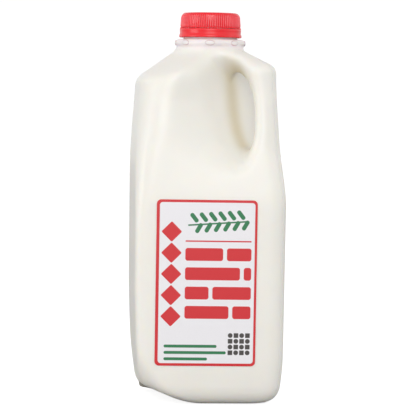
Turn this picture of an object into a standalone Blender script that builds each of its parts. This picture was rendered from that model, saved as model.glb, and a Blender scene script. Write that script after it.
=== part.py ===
# A half-gallon plastic milk jug: blow-moulded body with a handle through one corner, a ribbed
# screw cap on the neck, the tamper band under it and the paper label on the front.
# Metres, +Z up. The neck's axis is the Z axis, the label faces -Y, and the handle stands at
# the corner between +X and -Y. The jug rests on z = 0.

import bmesh
import bpy
import numpy as np
from math import cos, pi, radians, sin, sqrt

MM = 0.001

# Body section. The walls are measured from the neck's axis, which sits a little nearer the handle.
FAR_WALL_HEIGHTS = np.array([0, 10, 20, 34, 50, 76, 134, 155, 176, 205]) * MM
FAR_WALL_OFFSETS = np.array([43.2, 44.6, 46.1, 47.8, 48.7, 49.6, 49.9, 50.0, 49.1, 47.2]) * MM
HANDLE_WALL_HEIGHTS = np.array([0, 12, 24, 34, 133, 146, 166, 187, 209]) * MM
HANDLE_WALL_OFFSETS = np.array([44.9, 46.2, 47.5, 47.7, 48.0, 46.4, 43.1, 41.5, 39.8]) * MM
NEAR_WALL_HEIGHTS = np.array([0, 34, 131, 205]) * MM
NEAR_WALL_OFFSETS = np.array([46.8, 47.4, 47.6, 45.6]) * MM
WALL_SOFTENING = 5 * MM
HANDLE_CORNER_RADIUS = 10 * MM
BACK_CORNER_RADIUS = 9 * MM
SIDE_CORNER_HEIGHTS = np.array([0, 120, 190, 215]) * MM
SIDE_CORNER_RADII = np.array([6, 6, 20, 26]) * MM

# Roof from the walls up to the neck.
ROOF_TOP = 224.8 * MM
FAR_ROOF_OFFSET = 27.2 * MM
NEAR_ROOF_OFFSET = 27.9 * MM
FAR_ROOF_SLOPE = 0.746
NEAR_ROOF_SLOPE = 0.54
SIDE_ROOF_HEIGHT = 221.0 * MM
SIDE_ROOF_OFFSET = 33.4 * MM
SIDE_ROOF_SLOPE = 0.53
ROOF_EDGE_BLEND = 3 * MM
HIP_BLEND = 9 * MM
SHOULDER_BLEND = 4 * MM

# Base: it lifts towards the far walls and is cut at the two corners beside the parting plane,
# so the jug stands on the part under the handle and on a heel at the back corner.
BASE_EDGE_BLEND = 13 * MM
BASE_LIFT_TURN = radians(13.4)
BASE_LIFT_OFFSET = 22.3 * MM
BASE_LIFT_SLOPE = 0.43
CORNER_CUT_OFFSET = 49.3 * MM
CORNER_CUT_SLOPE = 1.6
BACK_CUT_OFFSET = 42 * MM
BACK_CUT_SLOPE = 0.55
BASE_CUT_BLEND = 4 * MM
HEEL_INNER = 36 * MM
HEEL_OUTER = 53.2 * MM
HEEL_HALF_WIDTH = 8.2 * MM
HEEL_FOOT = 2.2 * MM
HEEL_HEIGHT = 9 * MM
HEEL_BLEND = 2.2 * MM

# Handle opening, cut level along the other diagonal.
OPENING_WALL_HEIGHTS = np.array([155, 163, 172, 185, 198, 211, 220]) * MM
OPENING_WALL_OFFSETS = np.array([40.0, 32.7, 25.7, 21.6, 19.4, 17.8, 16.5]) * MM
GRIP_EDGE = 12.9 * MM
GRIP_BULGE = 14.0 * MM
GRIP_MIDDLE = 180 * MM
GRIP_ABOVE = 34.6 * MM
GRIP_BELOW = 28 * MM
CEILING_RISE = 0.95
GRIP_ROUNDING = 10 * MM
OPENING_END_BLEND = 9 * MM
OPENING_BODY_BLEND = 16 * MM
OPENING_GRIP_BLEND = 7 * MM
TOP_BLEND_HEIGHTS = np.array([196, 212]) * MM  # the softening narrows toward the roof
TOP_BLENDS = np.array([16, 7]) * MM

# Neck, ring and cap.
NECK_RADIUS = 20.7 * MM
NECK_TOP = 232.3 * MM
NECK_ROOT = 224 * MM
NECK_FOOT = 200 * MM
NECK_TAPER = 0.75
NECK_BLEND = 6 * MM
RING_RADIUS = 22.9 * MM
RING_BOTTOM = 231.0 * MM
RING_HEIGHT = 4.8 * MM
FINISH_RADIUS = 17.6 * MM
FINISH_TOP = 250.7 * MM
FINISH_ROOT = 224 * MM
ROUND_SIDES = 72
GAP = 0.35 * MM

CAP_TOP = 253.2 * MM
CAP_BOTTOM = 243.2 * MM
CAP_TOP_RADIUS = 19.7 * MM
CAP_BOTTOM_RADIUS = 20.3 * MM
CAP_EDGE_RADIUS = 2.8 * MM
CAP_RIBS = 72
CAP_RIB_DEPTH = 0.45 * MM

BAND_TOP = 242.8 * MM
BAND_BOTTOM = 237.0 * MM
BAND_RADIUS = 20.6 * MM
BAND_WAIST = 0.45 * MM
BAND_INNER_RADIUS = 18.2 * MM

LABEL_LEFT = -36.2 * MM
LABEL_RIGHT = 28.5 * MM
LABEL_TOP = 132.5 * MM
LABEL_BOTTOM = 25.8 * MM
LABEL_CORNER_RADIUS = 2.9 * MM
LABEL_THICKNESS = 0.5 * MM
LABEL_ROWS = 24

# Mesh density of the moulded body.
FIELD_STEP = 3.3 * MM
BODY_TRIANGLES = 7400

MATERIALS = {
    "milk_filled_polyethylene": ((0.86, 0.84, 0.79), 0.38),
    "red_polypropylene": ((0.82, 0.07, 0.09), 0.35),
    "printed_paper": ((0.80, 0.79, 0.80), 0.5),
}


def clear_scene():
    for obj in list(bpy.data.objects):
        bpy.data.objects.remove(obj)


def material_named(name):
    colour, roughness = MATERIALS[name]
    material = bpy.data.materials.new(name)
    material.use_nodes = True
    shader = material.node_tree.nodes["Principled BSDF"]
    shader.inputs["Base Color"].default_value = (*colour, 1)
    shader.inputs["Roughness"].default_value = roughness
    shader.inputs["Metallic"].default_value = 0
    return material


def smooth_max(a, b, blend):
    """The larger of two distances, with the edge between them rounded over the blend width."""
    share = np.clip(0.5 + 0.5 * (a - b) / blend, 0, 1)
    return b * (1 - share) + a * share + blend * share * (1 - share)


def smooth_min(a, b, blend):
    return -smooth_max(-a, -b, blend)


def eased(height, heights, values, softening=WALL_SOFTENING):
    """A value read off a profile at this height, with the profile's corners eased."""
    offsets = (-1.0, -0.5, 0.0, 0.5, 1.0)
    return sum(np.interp(height + softening * offset, heights, values) for offset in offsets) / len(offsets)


def walls(x, y, z):
    """Distance outside the four walls; the jug mirrors across the plane x = -y."""
    far = eased(z, FAR_WALL_HEIGHTS, FAR_WALL_OFFSETS)
    handle_end = eased(z, HANDLE_WALL_HEIGHTS, HANDLE_WALL_OFFSETS)
    near_end = eased(z, NEAR_WALL_HEIGHTS, NEAR_WALL_OFFSETS)
    span = FAR_WALL_OFFSETS.max() + HANDLE_WALL_OFFSETS.max()

    def near(along):
        share = np.clip((along + FAR_WALL_OFFSETS.max()) / span, 0, 1)
        return near_end + (handle_end - near_end) * share

    across = np.where(x > 0, x - near(-y), -x - far)
    along = np.where(y < 0, -y - near(x), y - far)
    side_radius = eased(z, SIDE_CORNER_HEIGHTS, SIDE_CORNER_RADII)
    radius = np.where(x * y > 0, side_radius, np.where(x > 0, HANDLE_CORNER_RADIUS, BACK_CORNER_RADIUS))
    return smooth_max(across, along, 1.17 * radius)


def facet(height, offset, top, top_offset, slope):
    """Distance above a roof facet that falls away from the neck by this slope."""
    return (height - top + slope * (offset - top_offset)) / sqrt(1 + slope * slope)


def roof(x, y, z):
    near = smooth_max(x, -y, HIP_BLEND)
    far = smooth_max(-x, y, HIP_BLEND)
    side = np.abs(x + y) / sqrt(2)
    over_near = facet(z, near, ROOF_TOP, NEAR_ROOF_OFFSET, NEAR_ROOF_SLOPE)
    over_far = facet(z, far, ROOF_TOP, FAR_ROOF_OFFSET, FAR_ROOF_SLOPE)
    over_side = facet(z, side, SIDE_ROOF_HEIGHT, SIDE_ROOF_OFFSET, SIDE_ROOF_SLOPE)
    return smooth_max(smooth_max(over_near, over_far, ROOF_EDGE_BLEND), over_side, ROOF_EDGE_BLEND)


def base_cuts(x, y, z):
    """Distance below the slopes that lift the base off the floor."""
    lifts = []
    for outward, along in ((-x, -y), (y, x)):
        reach = outward * cos(BASE_LIFT_TURN) + along * sin(BASE_LIFT_TURN)
        lifts.append(BASE_LIFT_SLOPE * (reach - BASE_LIFT_OFFSET) - z)
    lift = smooth_max(lifts[0], lifts[1], BASE_CUT_BLEND) / sqrt(1 + BASE_LIFT_SLOPE**2)
    side = np.abs(x + y) / sqrt(2)
    corner = (CORNER_CUT_SLOPE * (side - CORNER_CUT_OFFSET) - z) / sqrt(1 + CORNER_CUT_SLOPE**2)
    back = (BACK_CUT_SLOPE * ((y - x) / sqrt(2) - BACK_CUT_OFFSET) - z) / sqrt(1 + BACK_CUT_SLOPE**2)
    return smooth_max(smooth_max(lift, corner, BASE_CUT_BLEND), back, BASE_CUT_BLEND)


def heel(x, y, z):
    """Distance outside the heel that stands under the back corner, on the parting plane."""
    back = (y - x) / sqrt(2)
    length = np.maximum(back - HEEL_OUTER, HEEL_INNER - back)
    width = np.abs(x + y) / sqrt(2) - HEEL_HALF_WIDTH
    height = np.maximum(z - HEEL_HEIGHT, HEEL_FOOT - z)
    return smooth_max(smooth_max(length, width, 2 * HEEL_BLEND), height, HEEL_BLEND)


def opening(x, y, z):
    """Distance outside the opening between the body and the grip."""
    wall = eased(z, OPENING_WALL_HEIGHTS, OPENING_WALL_OFFSETS)
    lean = (eased(z + MM, OPENING_WALL_HEIGHTS, OPENING_WALL_OFFSETS) - wall) / MM
    body_side = (wall - (x - y) / sqrt(2)) / np.sqrt(1 + lean * lean)
    out = np.maximum(smooth_min(x, -y, GRIP_ROUNDING) - GRIP_EDGE, 0)
    above = z > GRIP_MIDDLE
    rise = np.where(above, CEILING_RISE, 0) * np.abs(x + y) / sqrt(2)
    up = np.maximum(np.abs(z - GRIP_MIDDLE) - rise, 0.001 * MM)
    reach = np.where(above, GRIP_ABOVE, GRIP_BELOW)
    turn = np.hypot(out / GRIP_BULGE, up / reach)
    grip_side = turn * (turn - 1) / np.hypot(out / GRIP_BULGE**2, up / reach**2)
    return smooth_max(body_side, grip_side, OPENING_END_BLEND)


def jug_field(x, y, z):
    """Distance outside the moulded body: below zero inside it."""
    shell = smooth_max(walls(x, y, z), roof(x, y, z), SHOULDER_BLEND)
    shell = smooth_max(shell, -z, BASE_EDGE_BLEND)
    shell = smooth_max(shell, base_cuts(x, y, z), BASE_CUT_BLEND)
    shell = smooth_min(shell, heel(x, y, z), HEEL_BLEND)
    toward_handle = (x - y) / sqrt(2)
    blend = np.interp(toward_handle, [24 * MM, 40 * MM], [OPENING_BODY_BLEND, OPENING_GRIP_BLEND])
    blend = np.minimum(blend, np.interp(z, TOP_BLEND_HEIGHTS, TOP_BLENDS))
    shell = smooth_max(shell, -opening(x, y, z), blend)
    ends = np.maximum(z - NECK_TOP, NECK_FOOT - z)
    radius = NECK_RADIUS - NECK_TAPER * np.maximum(NECK_ROOT - z, 0)
    neck = np.maximum(np.hypot(x, y) - radius, ends)
    return np.maximum(smooth_min(shell, neck, NECK_BLEND), -z)


def surface_net(field, low, high, step):
    """Points and four-sided faces of the surface where the field is zero, one point to each cell it crosses."""
    axes = [np.arange(low[i], high[i] + step, step) for i in range(3)]
    x, y, z = np.meshgrid(*axes, indexing="ij")
    values = field(x, y, z)
    corners = np.stack([x, y, z], axis=-1)
    cells = tuple(n - 1 for n in values.shape)
    total = np.zeros((*cells, 3))
    count = np.zeros(cells)
    crossings = []
    for axis in range(3):
        first = [slice(None)] * 3
        second = [slice(None)] * 3
        first[axis] = slice(None, -1)
        second[axis] = slice(1, None)
        before = values[tuple(first)]
        after = values[tuple(second)]
        crossed = (before < 0) != (after < 0)
        share = np.where(crossed, before / np.where(crossed, before - after, 1), 0)
        point = corners[tuple(first)].copy()
        point[..., axis] += share * step
        point *= crossed[..., None]
        others = [i for i in range(3) if i != axis]
        for shift in ((0, 0), (0, 1), (1, 0), (1, 1)):
            here = [slice(None)] * 3
            for other, move in zip(others, shift):
                here[other] = slice(move, move + cells[other])
            total += point[tuple(here)]
            count += crossed[tuple(here)]
        crossings.append((axis, others, crossed, before < 0))
    used = count > 0
    index = np.full(cells, -1)
    index[used] = np.arange(used.sum())
    points = total[used] / count[used][:, None]
    faces = []
    for axis, others, crossed, inside in crossings:
        one, two = others
        places = np.argwhere(crossed)
        places = places[(places[:, one] > 0) & (places[:, two] > 0)]
        places = places[(places[:, one] < cells[one]) & (places[:, two] < cells[two])]
        ring = []
        for back_one, back_two in ((1, 1), (0, 1), (0, 0), (1, 0)):
            cell = places.copy()
            cell[:, one] -= back_one
            cell[:, two] -= back_two
            ring.append(index[cell[:, 0], cell[:, 1], cell[:, 2]])
        quads = np.stack(ring, axis=1)
        turned = inside[places[:, 0], places[:, 1], places[:, 2]]
        if axis == 1:
            turned = ~turned
        quads = np.where(turned[:, None], quads, quads[:, ::-1])
        faces.append(quads)
    return points, np.concatenate(faces)


def settled(field, points, rounds=4, reach=0.05 * MM):
    """The points moved onto the surface where the field is zero."""
    for _ in range(rounds):
        value = field(*points.T)
        slope = np.empty_like(points)
        for axis in range(3):
            ahead = points.copy()
            behind = points.copy()
            ahead[:, axis] += reach
            behind[:, axis] -= reach
            slope[:, axis] = (field(*ahead.T) - field(*behind.T)) / (2 * reach)
        steep = np.maximum((slope**2).sum(axis=1), 0.2)
        points = points - slope * (value / steep)[:, None]
    return points


def add_object(name, mesh, material):
    obj = bpy.data.objects.new(name, mesh)
    bpy.context.scene.collection.objects.link(obj)
    mesh.materials.append(material)
    return obj


def apply_modifiers(obj):
    graph = bpy.context.evaluated_depsgraph_get()
    mesh = bpy.data.meshes.new_from_object(obj.evaluated_get(graph))
    obj.modifiers.clear()
    obj.data = mesh


def shade_round(mesh, angle=40):
    mesh.shade_smooth()
    mesh.set_sharp_from_angle(angle=radians(angle))


def turned_mesh(name, profile, sides):
    """A closed mesh from rings of (radius, height) around the Z axis; a radius of 0 closes an end."""
    shape = bmesh.new()
    rings = []
    for radius, height in profile:
        if radius == 0:
            rings.append([shape.verts.new((0, 0, height))])
            continue
        ring = []
        for i in range(sides):
            angle = 2 * pi * i / sides
            ring.append(shape.verts.new((radius * cos(angle), radius * sin(angle), height)))
        rings.append(ring)
    for lower, upper in zip(rings, rings[1:]):
        for i in range(sides):
            j = (i + 1) % sides
            if len(lower) == 1:
                shape.faces.new((lower[0], upper[j], upper[i]))
            elif len(upper) == 1:
                shape.faces.new((lower[i], lower[j], upper[0]))
            else:
                shape.faces.new((lower[i], lower[j], upper[j], upper[i]))
    if len(rings[0]) > 1:
        for i in range(sides):
            j = (i + 1) % sides
            shape.faces.new((rings[-1][i], rings[-1][j], rings[0][j], rings[0][i]))
    bmesh.ops.recalc_face_normals(shape, faces=shape.faces)
    mesh = bpy.data.meshes.new(name)
    shape.to_mesh(mesh)
    shape.free()
    return mesh


def rounded_profile(radius, bottom, top, corner, steps=4):
    """Ring radii and heights up a side that ends in a rounded top edge."""
    points = [(radius, bottom)]
    for i in range(steps + 1):
        angle = 0.5 * pi * i / steps
        points.append((radius - corner + corner * cos(angle), top - corner + corner * sin(angle)))
    return points


def make_jug():
    margin = 4 * FIELD_STEP
    reach = FAR_WALL_OFFSETS.max() + margin
    points, faces = surface_net(
        jug_field, (-reach, -reach, -margin), (reach, reach, NECK_TOP + margin), FIELD_STEP
    )
    points = settled(jug_field, points)
    mesh = bpy.data.meshes.new("jug")
    mesh.from_pydata(points.tolist(), [], faces.tolist())
    mesh.update()
    jug = add_object("jug", mesh, material_named("milk_filled_polyethylene"))
    thin = jug.modifiers.new("fewer faces", "DECIMATE")
    thin.ratio = min(1.0, BODY_TRIANGLES / (2 * len(faces)))
    apply_modifiers(jug)

    bead = 0.5 * RING_HEIGHT
    profile = [(0, FINISH_ROOT), (FINISH_RADIUS, FINISH_ROOT), (FINISH_RADIUS, RING_BOTTOM)]
    for i in range(9):
        angle = -0.5 * pi + pi * i / 8
        profile.append((RING_RADIUS - bead + bead * cos(angle), RING_BOTTOM + bead + bead * sin(angle)))
    profile += [(FINISH_RADIUS, RING_BOTTOM + RING_HEIGHT), (FINISH_RADIUS, FINISH_TOP), (0, FINISH_TOP)]
    finish = add_object("finish", turned_mesh("finish", profile, ROUND_SIDES), jug.data.materials[0])
    join = jug.modifiers.new("neck finish", "BOOLEAN")
    join.operation = "UNION"
    join.object = finish
    apply_modifiers(jug)
    bpy.data.objects.remove(finish)
    shade_round(jug.data)
    return jug


def make_cap():
    sides = 2 * CAP_RIBS
    inner = FINISH_RADIUS + GAP
    ceiling = FINISH_TOP + GAP
    lower = CAP_BOTTOM_RADIUS
    profile = [(0, ceiling), (inner, ceiling), (inner, CAP_BOTTOM), (lower, CAP_BOTTOM)]
    profile += [(lower, CAP_BOTTOM + 0.6 * MM)]
    profile += rounded_profile(CAP_TOP_RADIUS, CAP_TOP - 2 * CAP_EDGE_RADIUS, CAP_TOP, CAP_EDGE_RADIUS)
    profile += [(0, CAP_TOP)]
    cap = add_object("cap", turned_mesh("cap", profile, sides), material_named("red_polypropylene"))
    rim = CAP_TOP - CAP_EDGE_RADIUS
    for vertex in cap.data.vertices:
        radius = sqrt(vertex.co.x**2 + vertex.co.y**2)
        if radius < inner + 0.1 * MM or not CAP_BOTTOM + 0.3 * MM < vertex.co.z < rim + 0.1 * MM:
            continue
        turn = np.arctan2(vertex.co.y, vertex.co.x) * sides / (2 * pi)
        if round(turn) % 2:
            scale = (radius - CAP_RIB_DEPTH) / radius
            vertex.co.x *= scale
            vertex.co.y *= scale
    shade_round(cap.data, 30)
    return cap


def make_tamper_band(material):
    height = BAND_TOP - BAND_BOTTOM
    inner = BAND_INNER_RADIUS
    profile = [
        (inner, BAND_TOP),
        (inner, BAND_BOTTOM + 0.8 * MM),
        (inner + 0.5 * MM, BAND_BOTTOM + 0.1 * MM),
        (inner + 1.2 * MM, BAND_BOTTOM),
        (BAND_RADIUS - 0.5 * MM, BAND_BOTTOM + 0.1 * MM),
        (BAND_RADIUS, BAND_BOTTOM + 0.6 * MM),
        (BAND_RADIUS, BAND_BOTTOM + 0.3 * height),
        (BAND_RADIUS - BAND_WAIST, BAND_BOTTOM + 0.5 * height),
        (BAND_RADIUS - 0.6 * BAND_WAIST, BAND_BOTTOM + 0.9 * height),
        (BAND_RADIUS - 1.4 * BAND_WAIST, BAND_TOP),
    ]
    band = add_object("tamper_band", turned_mesh("tamper_band", profile, ROUND_SIDES), material)
    shade_round(band.data)
    return band


def make_label():
    """A thin sheet with rounded corners, laid just off the front wall."""
    outline = []
    for centre_x, centre_z, start in (
        (LABEL_RIGHT - LABEL_CORNER_RADIUS, LABEL_BOTTOM + LABEL_CORNER_RADIUS, -0.5 * pi),
        (LABEL_RIGHT - LABEL_CORNER_RADIUS, LABEL_TOP - LABEL_CORNER_RADIUS, 0),
        (LABEL_LEFT + LABEL_CORNER_RADIUS, LABEL_TOP - LABEL_CORNER_RADIUS, 0.5 * pi),
        (LABEL_LEFT + LABEL_CORNER_RADIUS, LABEL_BOTTOM + LABEL_CORNER_RADIUS, pi),
    ):
        for i in range(7):
            angle = start + 0.5 * pi * i / 6
            outline.append(
                (centre_x + LABEL_CORNER_RADIUS * cos(angle), centre_z + LABEL_CORNER_RADIUS * sin(angle))
            )
    shape = bmesh.new()
    ring = [shape.verts.new((x, 0, z)) for x, z in outline]
    shape.faces.new(ring)
    for row in range(1, LABEL_ROWS):
        height = LABEL_BOTTOM + (LABEL_TOP - LABEL_BOTTOM) * row / LABEL_ROWS
        geometry = shape.verts[:] + shape.edges[:] + shape.faces[:]
        bmesh.ops.bisect_plane(shape, geom=geometry, plane_co=(0, 0, height), plane_no=(0, 0, 1))
    for column in range(1, 8):
        across = LABEL_LEFT + (LABEL_RIGHT - LABEL_LEFT) * column / 8
        geometry = shape.verts[:] + shape.edges[:] + shape.faces[:]
        bmesh.ops.bisect_plane(shape, geom=geometry, plane_co=(across, 0, 0), plane_no=(1, 0, 0))
    places = np.array([vertex.co[:] for vertex in shape.verts])
    front = wall_front(places[:, 0], places[:, 2])
    for vertex, depth in zip(shape.verts, front):
        vertex.co.y = depth - GAP
    bmesh.ops.recalc_face_normals(shape, faces=shape.faces)
    back = bmesh.ops.extrude_face_region(shape, geom=shape.faces[:])
    for item in back["geom"]:
        if isinstance(item, bmesh.types.BMVert):
            item.co.y -= LABEL_THICKNESS
    bmesh.ops.recalc_face_normals(shape, faces=shape.faces)
    mesh = bpy.data.meshes.new("label")
    shape.to_mesh(mesh)
    shape.free()
    return add_object("label", mesh, material_named("printed_paper"))


def wall_front(x, z):
    """The y of the body's front wall at these places, found by halving."""
    outside = np.full(len(x), -60 * MM)
    inside = np.full(len(x), -20 * MM)
    for _ in range(30):
        middle = 0.5 * (outside + inside)
        solid = jug_field(x, middle, z) < 0
        inside = np.where(solid, middle, inside)
        outside = np.where(solid, outside, middle)
    return outside


clear_scene()
make_jug()
cap = make_cap()
make_tamper_band(cap.data.materials[0])
make_label()
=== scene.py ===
# A half-gallon plastic milk jug: natural polyethylene body full of milk, red screw cap with its
# tamper band, and a paper label on the front. Metres, +Z up, the neck's axis is the Z axis.

from math import atan, cos, hypot, pi, radians, sin, sqrt

import bmesh
import bpy
import numpy as np
from mathutils import Matrix, Vector


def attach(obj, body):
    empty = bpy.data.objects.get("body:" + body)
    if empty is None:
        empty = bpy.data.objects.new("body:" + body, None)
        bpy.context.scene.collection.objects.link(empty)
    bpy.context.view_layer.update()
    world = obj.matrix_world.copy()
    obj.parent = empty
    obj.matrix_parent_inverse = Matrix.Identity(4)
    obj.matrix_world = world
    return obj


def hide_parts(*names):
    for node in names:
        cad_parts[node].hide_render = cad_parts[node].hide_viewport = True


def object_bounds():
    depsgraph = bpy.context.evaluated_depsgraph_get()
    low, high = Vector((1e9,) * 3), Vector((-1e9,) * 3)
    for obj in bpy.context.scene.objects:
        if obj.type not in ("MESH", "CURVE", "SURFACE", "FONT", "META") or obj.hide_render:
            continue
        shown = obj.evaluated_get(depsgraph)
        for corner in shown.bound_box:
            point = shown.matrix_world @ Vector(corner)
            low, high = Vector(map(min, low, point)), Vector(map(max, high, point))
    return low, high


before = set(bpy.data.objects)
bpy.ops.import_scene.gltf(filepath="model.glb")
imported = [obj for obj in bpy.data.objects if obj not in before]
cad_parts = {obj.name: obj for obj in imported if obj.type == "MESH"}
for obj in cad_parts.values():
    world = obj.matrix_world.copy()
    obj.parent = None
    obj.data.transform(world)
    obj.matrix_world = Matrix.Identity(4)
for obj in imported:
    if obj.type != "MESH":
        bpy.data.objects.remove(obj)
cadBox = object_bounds()
scene = bpy.context.scene
mm = 0.001


def linear(hexText):
    # sRGB hex to the linear colour that shaders take
    parts = [int(hexText[i:i + 2], 16) / 255 for i in (1, 3, 5)]
    return (*[c / 12.92 if c <= 0.04045 else ((c + 0.055) / 1.055) ** 2.4 for c in parts], 1)


def addNode(tree, kind, settings=None, inputs=None):
    # one node, its settings, and its inputs as values or links; gives its first output
    node = tree.nodes.new(kind)
    for name, value in (settings or {}).items():
        setattr(node, name, value)
    for key, value in (inputs or {}).items():
        if isinstance(value, bpy.types.NodeSocket):
            tree.links.new(value, node.inputs[key])
        else:
            node.inputs[key].default_value = value
    return node.outputs[0] if node.outputs else node


def newMaterial(name):
    material = bpy.data.materials.new(name)
    material.use_nodes = True
    tree = material.node_tree
    return material, tree, tree.nodes["Principled BSDF"]


def addPiece(name, mesh, material, slotName, *replaced):
    piece = bpy.data.objects.new(name, mesh)
    scene.collection.objects.link(piece)
    if material.name not in mesh.materials:
        mesh.materials.append(material)
    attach(piece, "root")
    if replaced:
        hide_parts(*replaced)
    return piece


# materials

print("materials")
milkPolyethylene = {
    "milkWhite": "#f6f3eb",
    # no milk behind the wall: clearer plastic, with the pink of the red band's light painted in
    "emptyBandGlowWhite": "#f6edec",
    # painted shade along the crease in the finger hole, by the parting plane
    "creaseShadeCream": "#ddd3ba",
    "heelShadeGrey": "#aaa598",  # painted shade: the heel sits in shadow under the body's overhang, near the floor
    "lugShadePink": "#cfa9ae",  # painted shade and red reflection of the band, where the lugs meet the ring
    "fillLine": (227.5, 231.5),  # mm: the milk behind the wall ends here
    "roughness": 0.36,
    "ior": 1.54,
    "subsurface": 0.35,
    "depth": (2.2, 1.7, 1.1),  # mm that light travels in milk, by colour
    "grain": 0.7,  # mm, finer in truth; drawn this coarse to show
    "grainDepth": 0.012,
    "ripple": 16,  # mm, the wall's soft waves as it leaves the mould
    "rippleDepth": 0.10,
    "cloud": (34, 0.975),  # patches to a metre, darkest tone
    "roughnessSpread": (-0.03, 0.04),
}


def makePolyethylene(look):
    # Natural high-density polyethylene, blow-moulded and full of milk: waxy satin wall, milk
    # white where milk touches it, cooler and clearer above the fill line with the pink of the band's
    # light painted in, painted cream shade in the finger hole's crease, painted grey shade on the heel,
    # painted pinkish shade and red reflection where the neck lugs meet the ring.
    material, tree, shader = newMaterial("naturalPolyethyleneBlowMoulded")
    place = addNode(tree, "ShaderNodeTexCoord").node.outputs["Object"]
    height = addNode(tree, "ShaderNodeSeparateXYZ", {}, {0: place}).node.outputs["Z"]
    empty = addNode(tree, "ShaderNodeMapRange", {"interpolation_type": "SMOOTHSTEP"}, {
        "Value": height, "From Min": look["fillLine"][0] * mm, "From Max": look["fillLine"][1] * mm})
    cloudScale, darkest = look["cloud"]
    cloud = addNode(tree, "ShaderNodeTexNoise", {}, {"Vector": place, "Scale": cloudScale, "Detail": 3})
    tone = addNode(tree, "ShaderNodeMapRange", {}, {
        "Value": cloud, "From Min": 0.3, "From Max": 0.7, "To Min": darkest, "To Max": 1.0})
    # painted pinkish shade and red reflection round the neck lugs, where they meet the ring
    edge = addNode(tree, "ShaderNodeAttribute", {"attribute_name": "lugShade"}).node.outputs["Fac"]
    # painted cream shade in the finger hole's crease
    creaseShade = addNode(tree, "ShaderNodeAttribute", {"attribute_name": "creaseShade"}).node.outputs["Fac"]
    white = addNode(tree, "ShaderNodeMix", {"data_type": "RGBA"}, {
        "Factor": empty, 6: linear(look["milkWhite"]), 7: linear(look["emptyBandGlowWhite"])}).node.outputs[2]
    creaseShaded = addNode(tree, "ShaderNodeMix", {"data_type": "RGBA"}, {
        "Factor": creaseShade, 6: white, 7: linear(look["creaseShadeCream"])}).node.outputs[2]
    # painted grey shade on the heel
    heelShade = addNode(tree, "ShaderNodeAttribute", {"attribute_name": "heelShade"}).node.outputs["Fac"]
    heeled = addNode(tree, "ShaderNodeMix", {"data_type": "RGBA"}, {
        "Factor": heelShade, 6: creaseShaded, 7: linear(look["heelShadeGrey"])}).node.outputs[2]
    tinted = addNode(tree, "ShaderNodeMix", {"data_type": "RGBA"}, {
        "Factor": edge, 6: heeled, 7: linear(look["lugShadePink"])}).node.outputs[2]
    toned = addNode(tree, "ShaderNodeVectorMath", {"operation": "SCALE"}, {0: tinted, "Scale": tone})
    tree.links.new(toned, shader.inputs["Base Color"])
    smoother, rougher = look["roughnessSpread"]
    rough = addNode(tree, "ShaderNodeMapRange", {}, {
        "Value": cloud, "From Min": 0.3, "From Max": 0.7,
        "To Min": look["roughness"] + smoother, "To Max": look["roughness"] + rougher})
    tree.links.new(rough, shader.inputs["Roughness"])
    grain = addNode(tree, "ShaderNodeTexNoise", {}, {
        "Vector": place, "Scale": 1 / (look["grain"] * mm), "Detail": 1})
    ripple = addNode(tree, "ShaderNodeTexNoise", {}, {
        "Vector": place, "Scale": 1 / (look["ripple"] * mm), "Detail": 0})
    wide = addNode(tree, "ShaderNodeBump", {}, {
        "Strength": 1, "Distance": look["rippleDepth"] * mm, "Height": ripple})
    fine = addNode(tree, "ShaderNodeBump", {}, {
        "Strength": 1, "Distance": look["grainDepth"] * mm, "Height": grain, "Normal": wide})
    tree.links.new(fine, shader.inputs["Normal"])
    shader.inputs["IOR"].default_value = look["ior"]
    shader.inputs["Subsurface Weight"].default_value = look["subsurface"]
    shader.inputs["Subsurface Radius"].default_value = look["depth"]
    shader.inputs["Subsurface Scale"].default_value = mm
    return material


capPlastic = {
    "red": "#f6202c",
    "deepRed": "#e61824",
    "crestLightRed": "#fd6c73",  # painted light on the rib crests, where light shines through the thin ribs
    "roughness": 0.22,
    "ior": 1.51,
    "grain": 0.5,  # mm
    "grainDepth": 0.010,
    "flow": 120,  # marks to a metre
    "roughnessSpread": (-0.03, 0.05),
    "subsurface": 0.15,
    "depth": (1.2, 0.2, 0.15),  # mm that light travels, by colour
}


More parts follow.
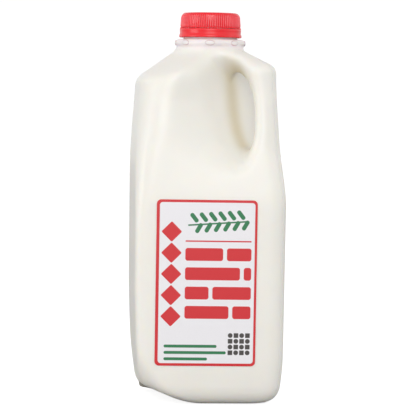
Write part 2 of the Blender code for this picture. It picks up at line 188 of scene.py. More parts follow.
def makeCapPlastic(look):
    # Low-density polyethylene, red, injection-moulded: soft gloss, slightly deeper red in the
    # uneven flow marks, and rib crests painted lighter pink for the light through the thin ribs.
    material, tree, shader = newMaterial("redPolyethyleneInjectionMoulded")
    place = addNode(tree, "ShaderNodeTexCoord").node.outputs["Object"]
    flow = addNode(tree, "ShaderNodeTexNoise", {}, {"Vector": place, "Scale": look["flow"], "Detail": 2})
    blend = addNode(tree, "ShaderNodeMapRange", {}, {
        "Value": flow, "From Min": 0.35, "From Max": 0.75, "To Min": 0, "To Max": 0.5})
    red = addNode(tree, "ShaderNodeMix", {"data_type": "RGBA"}, {
        "Factor": blend, 6: linear(look["red"]), 7: linear(look["deepRed"])}).node.outputs[2]
    # painted light: the rib crests lighter pink
    crestLight = addNode(tree, "ShaderNodeAttribute", {"attribute_name": "crestLight"}).node.outputs["Fac"]
    ribbed = addNode(tree, "ShaderNodeMix", {"data_type": "RGBA"}, {
        "Factor": crestLight, 6: red, 7: linear(look["crestLightRed"])}).node.outputs[2]
    tree.links.new(ribbed, shader.inputs["Base Color"])
    smoother, rougher = look["roughnessSpread"]
    rough = addNode(tree, "ShaderNodeMapRange", {}, {
        "Value": flow, "From Min": 0.3, "From Max": 0.7,
        "To Min": look["roughness"] + smoother, "To Max": look["roughness"] + rougher})
    tree.links.new(rough, shader.inputs["Roughness"])
    grain = addNode(tree, "ShaderNodeTexNoise", {}, {
        "Vector": place, "Scale": 1 / (look["grain"] * mm), "Detail": 1})
    bump = addNode(tree, "ShaderNodeBump", {}, {
        "Strength": 1, "Distance": look["grainDepth"] * mm, "Height": grain})
    tree.links.new(bump, shader.inputs["Normal"])
    shader.inputs["IOR"].default_value = look["ior"]
    shader.inputs["Subsurface Weight"].default_value = look["subsurface"]
    shader.inputs["Subsurface Radius"].default_value = look["depth"]
    shader.inputs["Subsurface Scale"].default_value = mm
    return material


labelPaper = {
    "paper": "#f3f1f4",
    "red": "#d8282f",
    "green": "#2c7d4f",
    "ink": "#4a4644",
    "size": (-36.2, 28.5, 25.8, 132.5),  # left, right, bottom, top, mm
    "frame": (2.0, 1.5, 1.7),  # line width at the left, at the right, at top and bottom
    "frameCorner": 2.9,
    "softEdge": 0.12,  # mm
    "fibre": 0.35,  # mm
    "fibreDepth": 0.006,
    "roughness": 0.42,
}


labelPrint = {
    "diamonds": 5,
    "barSpan": (-17.5, 25),  # mm
    "barGaps": (8, 19, -1, 12),  # where each row of red bars is split
    "barGapHalf": 1.2,
    "barRows": (97.5, 12.4),  # top row's height, pitch
    "leaves": 6,
    "lineReaches": (17, 20, 14),  # half lengths of the green lines
    "dots": 4,  # along each side of the dark square
}


def printShapes():
    # (colour, centre x, centre z, half width, half height, corner radius, turn), mm and degrees
    shapes = [("red", -26.4, 112 - 13.6 * i, 4.7, 4.7, 0.8, 45) for i in range(labelPrint["diamonds"])]
    start, end = labelPrint["barSpan"]
    half = labelPrint["barGapHalf"]
    top, pitch = labelPrint["barRows"]
    for row, gap in enumerate(labelPrint["barGaps"]):
        height = top - pitch * row
        shapes.append(("red", (start + gap - half) / 2, height, (gap - half - start) / 2, 4.1, 1.6, 0))
        shapes.append(("red", (gap + half + end) / 2, height, (end - gap - half) / 2, 4.1, 1.6, 0))
    shapes.append(("red", 3.7, 106, 21.2, 0.45, 0.4, 0))
    shapes.append(("green", 3, 117.5, 19, 0.5, 0.4, 4))
    for i in range(labelPrint["leaves"]):
        shapes.append(("green", -12 + 6 * i, 121 + 0.4 * i, 3.5, 1.35, 1.3, -52))
        shapes.append(("green", -9 + 6 * i, 114.4 + 0.4 * i, 3.5, 1.35, 1.3, 60))
    for i, reach in enumerate(labelPrint["lineReaches"]):
        shapes.append(("green", -30.5 + reach, 38.5 - 4.1 * i, reach, 0.95, 0.9, 0))
    for i in range(labelPrint["dots"]):
        for j in range(labelPrint["dots"]):
            corner = 1.4 if (i + j) % 2 else 0.3
            shapes.append(("ink", 12.2 + 3.7 * i, 34.5 + 3.7 * j, 1.5, 1.5, corner, 0))
    return shapes


def boxDistance(tree, flat, x, z, halfWidth, halfHeight, corner, turn):
    # distance outside a rounded box on the label's face, mm
    moved = addNode(tree, "ShaderNodeVectorMath", {"operation": "SUBTRACT"}, {0: flat, 1: (x, 0, z)})
    if turn:
        moved = addNode(tree, "ShaderNodeVectorRotate", {"rotation_type": "Y_AXIS"}, {
            "Vector": moved, "Angle": radians(turn)})
    size = (halfWidth - corner, 0, halfHeight - corner)
    for operation, other in (("ABSOLUTE", None), ("SUBTRACT", size), ("MAXIMUM", (0, 0, 0))):
        inputs = {0: moved} if other is None else {0: moved, 1: other}
        moved = addNode(tree, "ShaderNodeVectorMath", {"operation": operation}, inputs)
    length = addNode(tree, "ShaderNodeVectorMath", {"operation": "LENGTH"}, {0: moved})
    return addNode(tree, "ShaderNodeMath", {"operation": "SUBTRACT"}, {
        0: length.node.outputs["Value"], 1: corner})


def makeLabelPaper(look):
    # Coated paper with offset print: half-gloss ink fields on a cool white sheet, faint fibre.
    material, tree, shader = newMaterial("coatedPaperOffsetPrinted")
    place = addNode(tree, "ShaderNodeTexCoord").node.outputs["Object"]
    flat = addNode(tree, "ShaderNodeVectorMath", {"operation": "MULTIPLY"}, {
        0: place, 1: (1 / mm, 0, 1 / mm)})
    left, right, bottom, top = look["size"]
    atLeft, atRight, atEnds = look["frame"]
    sheet = ((left + right) / 2, (bottom + top) / 2, (right - left) / 2, (top - bottom) / 2)
    inside = ((left + right + atLeft - atRight) / 2, sheet[1],
              (right - left - atLeft - atRight) / 2, sheet[3] - atEnds)
    frameLine = boxDistance(tree, flat, *inside, look["frameCorner"] - 1, 0)
    frameLine = addNode(tree, "ShaderNodeMath", {"operation": "MULTIPLY"}, {0: frameLine, 1: -1})
    distances = {"red": frameLine}
    for colour, *shape in printShapes():
        found = boxDistance(tree, flat, *shape)
        if colour in distances:
            found = addNode(tree, "ShaderNodeMath", {"operation": "MINIMUM"}, {
                0: distances[colour], 1: found})
        distances[colour] = found
    fibre = addNode(tree, "ShaderNodeTexNoise", {}, {
        "Vector": place, "Scale": 1 / (look["fibre"] * mm), "Detail": 2})
    colour = linear(look["paper"])
    for name, distance in distances.items():
        inked = addNode(tree, "ShaderNodeMapRange", {}, {
            "Value": distance, "From Min": look["softEdge"], "From Max": -look["softEdge"]})
        colour = addNode(tree, "ShaderNodeMix", {"data_type": "RGBA"}, {
            "Factor": inked, 6: colour, 7: linear(look[name])}).node.outputs[2]
    tone = addNode(tree, "ShaderNodeMapRange", {}, {
        "Value": fibre, "From Min": 0.3, "From Max": 0.7, "To Min": 0.97, "To Max": 1.0})
    toned = addNode(tree, "ShaderNodeVectorMath", {"operation": "SCALE"}, {0: colour, "Scale": tone})
    tree.links.new(toned, shader.inputs["Base Color"])
    bump = addNode(tree, "ShaderNodeBump", {}, {
        "Strength": 1, "Distance": look["fibreDepth"] * mm, "Height": fibre})
    tree.links.new(bump, shader.inputs["Normal"])
    shader.inputs["Roughness"].default_value = look["roughness"]
    return material


polyethylene = makePolyethylene(milkPolyethylene)
redPlastic = makeCapPlastic(capPlastic)
paper = makeLabelPaper(labelPaper)

# the moulded body

jug = {
    # (heights, distances from the neck's axis), mm
    "farWall": ([0, 10, 20, 34, 50, 76, 134, 155, 176, 205],
                [43.2, 44.6, 46.1, 47.8, 48.7, 49.6, 49.9, 50.0, 49.1, 47.2]),
    "handleWall": ([0, 12, 24, 34, 133, 146, 166, 187, 209],
                   [44.9, 46.2, 47.5, 47.7, 48.0, 46.4, 43.1, 41.5, 39.8]),
    "nearWall": ([0, 34, 131, 205], [46.8, 47.4, 47.6, 45.6]),
    "wallSoftening": 5,
    "handleCorner": 10,
    "backCorner": 9,
    "sideCorner": ([0, 120, 190, 215], [6, 6, 20, 26]),
    "roofTop": 224.8,
    "farRoof": (27.2, 0.746),  # offset, slope
    "nearRoof": (27.9, 0.54),
    "sideRoof": (221.0, 33.4, 0.53),  # height, offset, slope
    "roofBlend": 3,
    "hipBlend": 9,
    "shoulderBlend": 4,
    "baseBlend": 13,
    "baseLift": (radians(13.4), 22.3, 0.43),  # turn, offset, slope
    "cornerCut": (49.3, 1.6),  # offset, slope
    "backCut": (42, 0.55),  # offset, slope
    "baseCutBlend": 4,
    "heel": (36, 53.2, 8.2, 2.2, 9),  # inner, outer, half width, foot, height
    "heelBlend": 2.2,
    "openingWall": ([155, 163, 172, 185, 198, 211, 220],
                    [40.0, 32.7, 25.7, 21.6, 19.4, 17.8, 16.5]),
    "grip": (12.9, 14.0),  # edge, bulge
    "gripMiddle": 180,
    "gripReach": (34.6, 28),  # above, below
    "ceilingRise": 0.95,
    "gripRounding": 10,
    "openingEndBlend": 9,
    "openingBlend": ([24, 40], [16, 7]),  # offsets toward the grip, softening there
    "openingTopBlend": ([196, 212], [16, 7]),  # heights, most softening
    "neck": (20.7, 200, 224, 232.3),  # radius, foot, root, top
    "neckTaper": 0.75,  # under the root, inside the body
    "neckBlend": 6,
    "ring": (22.9, 231.0, 4.8),  # radius, bottom, height
    "ringBlend": 0.6,
    "finish": (17.6, 250.7),  # radius, top
    "step": 1.25,
    "cornerShare": 1.17,  # softening across a wall corner, against its radius
    # how far the painted crease shade in the finger hole spreads, mm: from the opening's wall, from the
    # parting plane, toward the grip
    "creaseShadeReach": (4, 7, (38, 8)),
    # how far the heel's painted shade spreads: from the heel and its fade, then up from the floor and
    # its fade
    "heelReach": ((2, 1.5), (8, 2)),
}


def smoothMax(a, b, blend):
    share = np.clip(0.5 + 0.5 * (a - b) / blend, 0, 1)
    return b * (1 - share) + a * share + blend * share * (1 - share)


def smoothMin(a, b, blend):
    return -smoothMax(-a, -b, blend)


def eased(height, profile):
    # a value read off a profile, with the profile's corners eased
    soft = jug["wallSoftening"]
    return sum(np.interp(height + soft * i / 2, *profile) for i in range(-2, 3)) / 5


def walls(x, y, z):
    # four walls, mirrored across the parting plane x = -y
    far = eased(z, jug["farWall"])
    handleEnd = eased(z, jug["handleWall"])
    nearEnd = eased(z, jug["nearWall"])
    start = max(jug["farWall"][1])
    span = start + max(jug["handleWall"][1])
    nearX = nearEnd + (handleEnd - nearEnd) * np.clip((start - y) / span, 0, 1)
    nearY = nearEnd + (handleEnd - nearEnd) * np.clip((start + x) / span, 0, 1)
    across = np.where(x > 0, x - nearX, -x - far)
    along = np.where(y < 0, -y - nearY, y - far)
    ends = np.where(x > 0, jug["handleCorner"], jug["backCorner"])
    radius = np.where(x * y > 0, eased(z, jug["sideCorner"]), ends)
    return smoothMax(across, along, jug["cornerShare"] * radius)


def facet(height, offset, top, topOffset, slope):
    return (height - top + slope * (offset - topOffset)) / sqrt(1 + slope * slope)


def roof(x, y, z):
    near = facet(z, smoothMax(x, -y, jug["hipBlend"]), jug["roofTop"], *jug["nearRoof"])
    far = facet(z, smoothMax(-x, y, jug["hipBlend"]), jug["roofTop"], *jug["farRoof"])
    side = facet(z, np.abs(x + y) / sqrt(2), *jug["sideRoof"])
    return smoothMax(smoothMax(near, far, jug["roofBlend"]), side, jug["roofBlend"])


def baseCuts(x, y, z):
    turn, offset, slope = jug["baseLift"]
    lifts = []
    for outward, along in ((-x, -y), (y, x)):
        reach = outward * cos(turn) + along * sin(turn)
        lifts.append(slope * (reach - offset) - z)
    lift = smoothMax(lifts[0], lifts[1], jug["baseCutBlend"]) / sqrt(1 + slope * slope)
    offset, slope = jug["cornerCut"]
    corner = (slope * (np.abs(x + y) / sqrt(2) - offset) - z) / sqrt(1 + slope * slope)
    offset, slope = jug["backCut"]
    back = (slope * ((y - x) / sqrt(2) - offset) - z) / sqrt(1 + slope * slope)
    return smoothMax(smoothMax(lift, corner, jug["baseCutBlend"]), back, jug["baseCutBlend"])


def heel(x, y, z):
    inner, outer, halfWidth, foot, top = jug["heel"]
    back = (y - x) / sqrt(2)
    length = np.maximum(back - outer, inner - back)
    width = np.abs(x + y) / sqrt(2) - halfWidth
    height = np.maximum(z - top, foot - z)
    return smoothMax(smoothMax(length, width, 2 * jug["heelBlend"]), height, jug["heelBlend"])


def opening(x, y, z):
    # the finger hole, level along the other diagonal
    wall = eased(z, jug["openingWall"])
    lean = eased(z + 1, jug["openingWall"]) - wall
    bodySide = (wall - (x - y) / sqrt(2)) / np.sqrt(1 + lean * lean)
    edge, bulge = jug["grip"]
    out = np.maximum(smoothMin(x, -y, jug["gripRounding"]) - edge, 0)
    above = z > jug["gripMiddle"]
    rise = np.where(above, jug["ceilingRise"], 0) * np.abs(x + y) / sqrt(2)
    up = np.maximum(np.abs(z - jug["gripMiddle"]) - rise, 0.001)
    reach = np.where(above, *jug["gripReach"])
    turn = np.hypot(out / bulge, up / reach)
    gripSide = turn * (turn - 1) / np.hypot(out / bulge**2, up / reach**2)
    return smoothMax(bodySide, gripSide, jug["openingEndBlend"])


def bead(x, y, z, radius, bottom, height):
    # a round-edged ring about the neck's axis
    half = height / 2
    return np.hypot(np.maximum(np.hypot(x, y) - radius + half, 0), z - bottom - half) - half


def jugField(x, y, z):
    # distance outside the moulded body, mm: below zero inside it
    shell = smoothMax(walls(x, y, z), roof(x, y, z), jug["shoulderBlend"])
    shell = smoothMax(shell, -z, jug["baseBlend"])
    shell = smoothMax(shell, baseCuts(x, y, z), jug["baseCutBlend"])
    shell = smoothMin(shell, heel(x, y, z), jug["heelBlend"])
    blend = np.interp((x - y) / sqrt(2), *jug["openingBlend"])
    blend = np.minimum(blend, np.interp(z, *jug["openingTopBlend"]))
    shell = smoothMax(shell, -opening(x, y, z), blend)
    radius, foot, root, top = jug["neck"]
    radius = radius - jug["neckTaper"] * np.maximum(root - z, 0)
    neck = np.maximum(np.hypot(x, y) - radius, np.maximum(z - top, foot - z))
    body = np.maximum(smoothMin(shell, neck, jug["neckBlend"]), -z)
    radius, top = jug["finish"]
    finish = np.maximum(np.hypot(x, y) - radius, np.maximum(z - top, root - z))
    return np.minimum(smoothMin(body, bead(x, y, z, *jug["ring"]), jug["ringBlend"]), finish)


def surfaceNet(field, low, high, step):
    # points and quads of the surface where the field is zero, one point to each cell it crosses
    axes = [np.arange(low[i], high[i] + step, step) for i in range(3)]
    x, y, z = np.meshgrid(*axes, indexing="ij")
    values = field(x, y, z)
    corners = np.stack([x, y, z], axis=-1)
    cells = tuple(n - 1 for n in values.shape)
    total = np.zeros((*cells, 3))
    count = np.zeros(cells)
    crossings = []
    for axis in range(3):
        first = [slice(None)] * 3
        second = [slice(None)] * 3
        first[axis] = slice(None, -1)
        second[axis] = slice(1, None)
        before = values[tuple(first)]
        after = values[tuple(second)]
        crossed = (before < 0) != (after < 0)
        share = np.where(crossed, before / np.where(crossed, before - after, 1), 0)
        point = corners[tuple(first)].copy()
        point[..., axis] += share * step
        point *= crossed[..., None]
        others = [i for i in range(3) if i != axis]
        for shift in ((0, 0), (0, 1), (1, 0), (1, 1)):
            here = [slice(None)] * 3
            for other, move in zip(others, shift):
                here[other] = slice(move, move + cells[other])
            total += point[tuple(here)]
            count += crossed[tuple(here)]
        crossings.append((axis, others, crossed, before < 0))
    used = count > 0
    index = np.full(cells, -1)
    index[used] = np.arange(used.sum())
    faces = []
    for axis, (one, two), crossed, inside in crossings:
        places = np.argwhere(crossed)
        ring = []
        for backOne, backTwo in ((1, 1), (0, 1), (0, 0), (1, 0)):
            cell = places.copy()
            cell[:, one] -= backOne
            cell[:, two] -= backTwo
            ring.append(index[cell[:, 0], cell[:, 1], cell[:, 2]])
        quads = np.stack(ring, axis=1)
        turned = inside[places[:, 0], places[:, 1], places[:, 2]] != (axis == 1)
        faces.append(np.where(turned[:, None], quads, quads[:, ::-1]))
    return total[used] / count[used][:, None], np.concatenate(faces)


def settled(field, points, rounds=4, reach=0.05):
    # the points moved onto the surface where the field is zero
    for _ in range(rounds):
        slope = np.empty_like(points)
        for axis in range(3):
            move = reach * np.eye(3)[axis]
            slope[:, axis] = (field(*(points + move).T) - field(*(points - move).T)) / (2 * reach)
        steep = np.maximum((slope**2).sum(axis=1), 0.2)
        points = points - slope * (field(*points.T) / steep)[:, None]
    return points


def makeJug():
    print("moulded body")
    reach = max(jug["farWall"][1]) + 4
    low, high = (-reach, -reach, -4), (reach, reach, jug["finish"][1] + 4)
    points, faces = surfaceNet(jugField, low, high, jug["step"])
    points = settled(jugField, points)
    points = np.clip(points, np.array(cadBox[0]) / mm, np.array(cadBox[1]) / mm)
    mesh = bpy.data.meshes.new("jug_body")
    mesh.from_pydata((points * mm).tolist(), [], faces.tolist())
    mesh.shade_smooth()
    x, y, z = points.T
    # painted shade: cream darkening along the crease of the finger hole, near its wall and the parting
    # plane
    holeReach, planeReach, (bodyEnd, bodyFade) = jug["creaseShadeReach"]
    nearHole = np.clip(1 - np.abs(opening(x, y, z)) / holeReach, 0, 1)
    nearPlane = np.exp(-((x + y) / sqrt(2) / planeReach) ** 2)
    nearBody = np.clip((bodyEnd - (x - y) / sqrt(2)) / bodyFade, 0, 1)
    creaseShade = mesh.attributes.new("creaseShade", "FLOAT", "POINT")
    creaseShade.data.foreach_set("value", (nearHole * nearPlane * nearBody).astype(np.float32))
    # painted shade on the heel, darkest by the floor, under the body's overhang
    (outEnd, outFade), (upEnd, upFade) = jug["heelReach"]
    shade = np.clip((outEnd - heel(x, y, z)) / outFade, 0, 1) * np.clip((upEnd - z) / upFade, 0, 1)
    heelShade = mesh.attributes.new("heelShade", "FLOAT", "POINT")
    heelShade.data.foreach_set("value", shade.astype(np.float32))
    return addPiece("jug_body", mesh, polyethylene, "milk_filled_polyethylene", "jug")


jugPiece = makeJug()


def makeTree(name, sockets):
    # a Geometry Nodes tree with these named inputs; gives the tree and its input node
    tree = bpy.data.node_groups.new(name, "GeometryNodeTree")
    tree.interface.new_socket("Geometry", in_out="INPUT", socket_type="NodeSocketGeometry")
    for title, kind in sockets.items():
        tree.interface.new_socket(title, in_out="INPUT", socket_type=kind)
    tree.interface.new_socket("Geometry", in_out="OUTPUT", socket_type="NodeSocketGeometry")
    return tree, tree.nodes.new("NodeGroupInput")


def grownMesh(mesh, tree, values):
    # the mesh after the tree has run on it with these values, as a plain mesh
    holder = bpy.data.objects.new("holder", mesh)
    scene.collection.objects.link(holder)
    modifier = holder.modifiers.new(tree.name, "NODES")
    modifier.node_group = tree
    for item in tree.interface.items_tree:
        if item.in_out == "INPUT" and item.name in values:
            modifier[item.identifier] = values[item.name]
    graph = bpy.context.evaluated_depsgraph_get()
    grown = bpy.data.meshes.new_from_object(holder.evaluated_get(graph))
    holder.modifiers.remove(modifier)
    bpy.data.objects.remove(holder)
    return grown


def finishTree(tree, geometry, start):
    realised = addNode(tree, "GeometryNodeRealizeInstances", {}, {0: geometry})
    painted = addNode(tree, "GeometryNodeSetMaterial", {}, {
        "Geometry": realised, "Material": start.outputs["Material"]})
    tree.links.new(painted, tree.nodes.new("NodeGroupOutput").inputs[0])
    return tree


def makeSeamTree():
    # a round bead along every edge of the mesh that comes in
    tree, start = makeTree("seamBead", {
        "Radius": "NodeSocketFloat", "Points": "NodeSocketInt", "Sides": "NodeSocketInt",
        "Material": "NodeSocketMaterial"})
    curve = addNode(tree, "GeometryNodeMeshToCurve", {}, {"Mesh": start.outputs["Geometry"]})
    smooth = addNode(tree, "GeometryNodeResampleCurve", {}, {
        "Curve": curve, "Count": start.outputs["Points"]})
    ring = addNode(tree, "GeometryNodeCurvePrimitiveCircle", {}, {
        "Resolution": start.outputs["Sides"], "Radius": start.outputs["Radius"]})
    bead = addNode(tree, "GeometryNodeCurveToMesh", {}, {"Curve": smooth, "Profile Curve": ring})
    return finishTree(tree, bead, start)


def makeRoundTree():
    # copies of an element turned about the Z axis, added to the mesh that comes in
    tree, start = makeTree("roundPattern", {
        "Element": "NodeSocketObject", "Count": "NodeSocketInt", "Start": "NodeSocketFloat",
        "Material": "NodeSocketMaterial"})
    step = addNode(tree, "ShaderNodeMath", {"operation": "DIVIDE"}, {
        0: 2 * pi, 1: start.outputs["Count"]})
    index = addNode(tree, "GeometryNodeInputIndex")
    turn = addNode(tree, "ShaderNodeMath", {"operation": "MULTIPLY_ADD"}, {
        0: index, 1: step, 2: start.outputs["Start"]})
    around = addNode(tree, "ShaderNodeCombineXYZ", {}, {"Z": turn})
    rotation = addNode(tree, "FunctionNodeEulerToRotation", {}, {0: around})
    points = addNode(tree, "GeometryNodePoints", {}, {"Count": start.outputs["Count"]})
    element = addNode(tree, "GeometryNodeObjectInfo", {}, {
        "Object": start.outputs["Element"]}).node.outputs["Geometry"]
    copies = addNode(tree, "GeometryNodeInstanceOnPoints", {}, {
        "Points": points, "Instance": element, "Rotation": rotation})
    joined = addNode(tree, "GeometryNodeJoinGeometry", {}, {0: start.outputs["Geometry"]})
    tree.links.new(copies, joined.node.inputs[0])
    return finishTree(tree, joined, start)


roundTree = makeRoundTree()


def withRound(mesh, element, count, start, material):
    # the mesh with copies of the element standing round it
    holder = bpy.data.objects.new("element", element)
    scene.collection.objects.link(holder)
    grown = grownMesh(mesh, roundTree, {
        "Element": holder, "Count": count, "Start": start, "Material": material})
    bpy.data.objects.remove(holder)
    return grown


def finishMesh(shape, name, sharp=40):
    bmesh.ops.recalc_face_normals(shape, faces=shape.faces)
    mesh = bpy.data.meshes.new(name)
    shape.to_mesh(mesh)
    shape.free()
    mesh.shade_smooth()
    mesh.set_sharp_from_angle(angle=radians(sharp))
    return mesh


def turned(name, profile, sides, closed=False):
    # a closed mesh from (radius, height) in mm about the Z axis; a radius of 0 is a pole
    shape = bmesh.new()
    rings = []
    for radius, height in profile:
        count = sides if radius else 1
        angles = [2 * pi * i / sides for i in range(count)]
        spots = [(radius * mm * cos(a), radius * mm * sin(a), height * mm) for a in angles]
        rings.append([shape.verts.new(spot) for spot in spots])
    for lower, upper in zip(rings, rings[1:] + rings[:1] * closed):
        for i in range(sides):
            j = (i + 1) % sides
            corners = [lower[i % len(lower)], lower[j % len(lower)],
                       upper[j % len(upper)], upper[i % len(upper)]]
            shape.faces.new(list(dict.fromkeys(corners)))
    return finishMesh(shape, name)


def rodMesh(name, rings, sides):
    # a closed rod through rings of (x, y, z, radius across, radius along), mm
    shape = bmesh.new()
    loops = []
    for x, y, z, wide, deep in rings:
        loops.append([shape.verts.new(((x + deep * cos(2 * pi * i / sides)) * mm,
                                       (y + wide * sin(2 * pi * i / sides)) * mm, z * mm))
                      for i in range(sides)])
    for lower, upper in zip(loops, loops[1:]):
        for i in range(sides):
            j = (i + 1) % sides
            shape.faces.new((lower[i], lower[j], upper[j], upper[i]))
    shape.faces.new(loops[0])
    shape.faces.new(loops[-1])
    return finishMesh(shape, name)


# parting seam and neck lugs

seam = {
    "radius": 0.2,  # mm, half sunk in the wall
    "reach": (1, 230),  # heights: it stays off the floor and under the bead
    "clear": 2,  # it stops this far from the opening
    "points": 420,
    "sides": 8,
}


def makeSeam():
    print("parting seam")
    shape = bmesh.new()
    shape.from_mesh(jugPiece.data)
    everything = shape.verts[:] + shape.edges[:] + shape.faces[:]
    split = bmesh.ops.bisect_plane(shape, geom=everything, plane_co=(0, 0, 0), plane_no=(1, 1, 0))
    cut = split["geom_cut"]
    line = bmesh.new()
    spots = {}
    for item in cut:
        if not isinstance(item, bmesh.types.BMEdge):
            continue
        ends = []
        for vertex in item.verts:
            if vertex not in spots:
                spots[vertex] = line.verts.new(vertex.co)
            ends.append(spots[vertex])
        middle = (ends[0].co + ends[1].co) / (2 * mm)
        low, high = seam["reach"]
        if low < middle.z < high and opening(*middle) > seam["clear"]:
            line.edges.new(ends)
    shape.free()
    path = bpy.data.meshes.new("path")
    line.to_mesh(path)
    line.free()
    mesh = grownMesh(path, makeSeamTree(), {
        "Radius": seam["radius"] * mm, "Points": seam["points"], "Sides": seam["sides"],
        "Material": polyethylene})
    mesh.shade_smooth()
    addPiece("parting_seam", mesh, polyethylene, "milk_filled_polyethylene")


makeSeam()

lugs = {
    "count": 8,
    "start": radians(-95),
    "reach": 22.5,  # mm from the axis to a lug's middle
    "height": 233.4,
    "half": (0.75, 3.3, 1.75),  # out, along the ring, up
    "rings": 12,
    "sides": 24,
    "edgeShade": (22.6, 1.6, 3.2),  # radius, painted shade there, loss for each mm further out
}


def makeLugs():
    print("neck lugs")
    out, along, up = lugs["half"]
    rings = []
    for i in range(1, lugs["rings"]):
        angle = pi * i / lugs["rings"] - pi / 2
        height = lugs["height"] + up * sin(angle)
        rings.append((lugs["reach"], 0, height, along * cos(angle), out * cos(angle)))
    element = rodMesh("lug", rings, lugs["sides"])
    mesh = withRound(bpy.data.meshes.new("lugs"), element, lugs["count"], lugs["start"], polyethylene)
    # painted shade and red reflection: strongest where each lug meets the ring, gone further out
    far = np.array([hypot(*vertex.co[:2]) / mm for vertex in mesh.vertices])
    edgeShade = mesh.attributes.new("lugShade", "FLOAT", "POINT")
    begin, most, loss = lugs["edgeShade"]
    edgeShade.data.foreach_set("value", np.clip(most - loss * (far - begin), 0, 1).astype(np.float32))
    addPiece("neck_lugs", mesh, polyethylene, "milk_filled_polyethylene")


makeLugs()

# cap and tamper band

cap = {
    "top": 253.2,
    "bottom": 243.2,
    "skirt": (19.3, 18.75),  # radius at the bottom and at the top, between the ribs
    "edge": 2.2,  # rounding of the top edge
    "bore": (17.95, 251.1),  # radius, ceiling
    "dish": (15.2, 0.5),  # radius and depth of the shallow top
    "sides": 240,
    "ribs": 84,
    "rib": (243.3, 251.8),  # foot and head
    "ribHalf": 0.34,  # the real ribs are finer; drawn this wide to show
    "ribRise": 0.6,
    "ribTaper": 0.35,  # of its size at foot and head
    "ribSides": 8,
}


def makeCap():
    print("cap")
    low, high = cap["skirt"]
    bore, ceiling = cap["bore"]
    dish, depth = cap["dish"]
    edge, top, bottom = cap["edge"], cap["top"], cap["bottom"]
    profile = [(0, ceiling), (bore, ceiling), (bore, bottom), (low - 0.1, bottom), (low, bottom + 0.2)]
    for i in range(9):
        angle = pi / 2 * i / 8
        profile.append((high - edge + edge * cos(angle), top - edge + edge * sin(angle)))
    profile += [(dish + 0.4, top), (dish, top - depth), (0, top - depth)]
    foot, head = cap["rib"]
    half, rise = cap["ribHalf"], cap["ribRise"]
    lean = (high - low) / (top - edge - bottom)
    rings = []
    for share in np.linspace(0, 1, 7):
        z = foot + (head - foot) * share
        over = max(z - (top - edge), 0)
        sunk = edge - sqrt(edge * edge - over * over)
        taper = cap["ribTaper"] if share in (0, 1) else 1
        reach = low + lean * min(z - bottom, top - edge - bottom) - sunk
        rings.append((reach, 0, z, half * taper, rise * taper))
    rib = rodMesh("rib", rings, cap["ribSides"])
    # every rib point takes the painted light on the crests
    crestLight = rib.attributes.new("crestLight", "FLOAT", "POINT")
    crestLight.data.foreach_set("value", np.ones(len(rib.vertices), np.float32))
    mesh = withRound(turned("cap", profile, cap["sides"]), rib, cap["ribs"], 0.0, redPlastic)
    addPiece("screw_cap", mesh, redPlastic, "red_cap_plastic", "cap")


makeCap()

band = {
    "top": 242.8,
    "bottom": 237.0,
    "bore": 18.2,
    "sides": 240,
    # (radius, height) up the outside
    "outside": [(19.6, 237.0), (20.25, 237.15), (20.58, 237.5), (20.6, 238.0), (20.45, 238.6),
                (20.15, 239.3), (20.08, 240.1), (20.15, 241.2), (20.25, 242.0), (20.1, 242.5),
                (19.9, 242.8)],
    "bridges": 60,
    "bridge": (19.75, 242.6, 243.4),  # radius, foot, head
    "bridgeHalf": (0.32, 0.3),
    "bridgeSides": 8,
}


def makeBand():
    print("tamper band")
    bore, top, bottom = band["bore"], band["top"], band["bottom"]
    profile = [(bore, top), (bore, bottom + 0.8), (bore + 0.5, bottom + 0.1)] + band["outside"]
    radius, foot, head = band["bridge"]
    wide, deep = band["bridgeHalf"]
    rings = [(radius, 0, height, wide, deep) for height in (foot, head)]
    bridge = rodMesh("bridge", rings, band["bridgeSides"])
    mesh = turned("band", profile, band["sides"], closed=True)
    mesh = withRound(mesh, bridge, band["bridges"], 0.0, redPlastic)
    addPiece("tamper_band_piece", mesh, redPlastic, "red_cap_plastic", "tamper_band")


makeBand()

# label

label = {
    "corner": 2.9,  # mm
    "thickness": 0.25,
    "lift": 0.05,  # off the wall
    "rows": 60,
    "columns": 36,
    "cornerSteps": 12,
}


def wallFront(x, z):
    # the y of the body's front wall at these places, found by halving, mm
    outside = np.full(len(x), -60.0)
    inside = np.full(len(x), -20.0)
    for _ in range(30):
        middle = (outside + inside) / 2
        solid = jugField(x, middle, z) < 0
        inside = np.where(solid, middle, inside)
        outside = np.where(solid, outside, middle)
    return outside


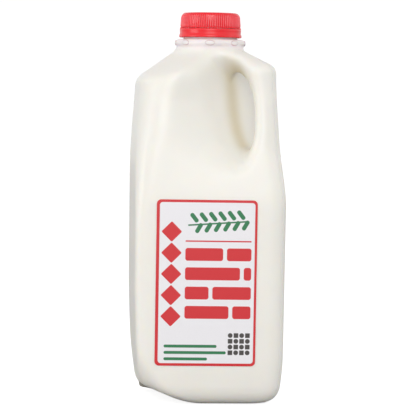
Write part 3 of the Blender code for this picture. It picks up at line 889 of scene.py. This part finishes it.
def makeLabel():
    print("label")
    left, right, bottom, top = labelPaper["size"]
    corner, steps = label["corner"], label["cornerSteps"]
    shape = bmesh.new()
    outline = []
    for x, z, start in ((right - corner, bottom + corner, -pi / 2), (right - corner, top - corner, 0),
                        (left + corner, top - corner, pi / 2), (left + corner, bottom + corner, pi)):
        for i in range(steps + 1):
            angle = start + pi / (2 * steps) * i
            outline.append(shape.verts.new((x + corner * cos(angle), 0, z + corner * sin(angle))))
    shape.faces.new(outline)
    spans = ((2, bottom, top, label["rows"]), (0, left, right, label["columns"]))
    for axis, low, high, count in spans:
        for i in range(1, count):
            spot, normal = Vector(), Vector()
            spot[axis] = low + (high - low) * i / count
            normal[axis] = 1
            everything = shape.verts[:] + shape.edges[:] + shape.faces[:]
            bmesh.ops.bisect_plane(shape, geom=everything, plane_co=spot, plane_no=normal)
    places = np.array([vertex.co[:] for vertex in shape.verts])
    front = wallFront(places[:, 0], places[:, 2])
    for vertex, depth in zip(shape.verts, front):
        vertex.co.y = depth - label["lift"]
        vertex.co *= mm
    bmesh.ops.recalc_face_normals(shape, faces=shape.faces)
    moved = bmesh.ops.extrude_face_region(shape, geom=shape.faces[:])["geom"]
    for item in moved:
        if isinstance(item, bmesh.types.BMVert):
            item.co.y -= label["thickness"] * mm
    addPiece("printed_label", finishMesh(shape, "label"), paper, "printed_paper", "label")


makeLabel()

# camera, light and floor

print("stage")
view = {
    "distance": 1.550,
    "height": 0.2005,
    "azimuth": radians(-4.5),
    "roll": radians(0.95),
    "focal": 2352,  # in pixels of the frame
    "frame": 415,
    "horizon": 114.1,  # pixels above the frame's middle
    "sensor": 36,
    "farthest": 10,
}


def makeCamera(view):
    camera = bpy.data.objects.new("camera", bpy.data.cameras.new("camera"))
    scene.collection.objects.link(camera)
    azimuth = view["azimuth"]
    camera.location = (view["distance"] * sin(azimuth), -view["distance"] * cos(azimuth), view["height"])
    tilt = pi / 2 - atan(view["horizon"] / view["focal"])
    aim = Matrix.Rotation(azimuth, 4, "Z") @ Matrix.Rotation(tilt, 4, "X")
    camera.rotation_euler = (aim @ Matrix.Rotation(view["roll"], 4, "Z")).to_euler()
    camera.data.sensor_width = view["sensor"]
    camera.data.lens = view["focal"] * view["sensor"] / view["frame"]
    camera.data.clip_end = view["farthest"]
    scene.camera = camera


makeCamera(view)

studio = {
    "ambient": 1.02,  # at the horizon
    "overhead": 0.55,
    "backdrop": 1.05,
    "floor": "#a8a8a8",
    "floorGlow": 0.85,
    "floorHalf": 6,  # m
    "floorDrop": 0.0002,
    "aim": (0, 0, 0.12),
    # name: (place, size, watts)
    "lights": {
        "front": ((-0.1, -1.6, 0.6), 0.8, 7.5),
        "left": ((-1.4, -0.6, 0.1), 0.8, 5.5),
        "right": ((1.4, -0.3, 0.5), 0.8, 0.9),
    },
}


def makeStudio(studio):
    world = bpy.data.worlds.new("studio")
    world.use_nodes = True
    tree = world.node_tree
    background = tree.nodes["Background"]
    seen = addNode(tree, "ShaderNodeLightPath").node.outputs["Is Camera Ray"]
    direction = addNode(tree, "ShaderNodeTexCoord").node.outputs["Generated"]
    height = addNode(tree, "ShaderNodeSeparateXYZ", {}, {0: direction}).node.outputs["Z"]
    sky = addNode(tree, "ShaderNodeMapRange", {}, {
        "Value": height, "From Min": 0.1, "From Max": 1,
        "To Min": studio["ambient"], "To Max": studio["overhead"]})
    strength = addNode(tree, "ShaderNodeMix", {}, {"Factor": seen, "A": sky, "B": studio["backdrop"]})
    tree.links.new(strength, background.inputs["Strength"])
    background.inputs["Color"].default_value = (1, 1, 1, 1)
    scene.world = world
    for name, (place, size, watts) in studio["lights"].items():
        lamp = bpy.data.objects.new(name, bpy.data.lights.new(name, "AREA"))
        scene.collection.objects.link(lamp)
        lamp.data.size = size
        lamp.data.energy = watts
        lamp.location = place
        aim = Vector(studio["aim"]) - Vector(place)
        lamp.rotation_euler = aim.to_track_quat("-Z", "Y").to_euler()
    material, tree, shader = newMaterial("palePaperSweep")
    shader.inputs["Base Color"].default_value = linear(studio["floor"])
    shader.inputs["Roughness"].default_value = 0.9
    seen = addNode(tree, "ShaderNodeLightPath").node.outputs["Is Camera Ray"]
    glow = addNode(tree, "ShaderNodeMath", {"operation": "MULTIPLY"}, {
        0: seen, 1: studio["floorGlow"]})
    shader.inputs["Emission Color"].default_value = (1, 1, 1, 1)
    tree.links.new(glow, shader.inputs["Emission Strength"])
    mesh = bpy.data.meshes.new("floor")
    half = studio["floorHalf"]
    corners = [(-half, -half, 0), (half, -half, 0), (half, half, 0), (-half, half, 0)]
    mesh.from_pydata(corners, [], [(0, 1, 2, 3)])
    mesh.materials.append(material)
    floor = bpy.data.objects.new("floor", mesh)
    scene.collection.objects.link(floor)
    floor.location.z = -studio["floorDrop"]


makeStudio(studio)
scene.view_settings.view_transform = "Standard"
scene.view_settings.look = "None"

print("done")
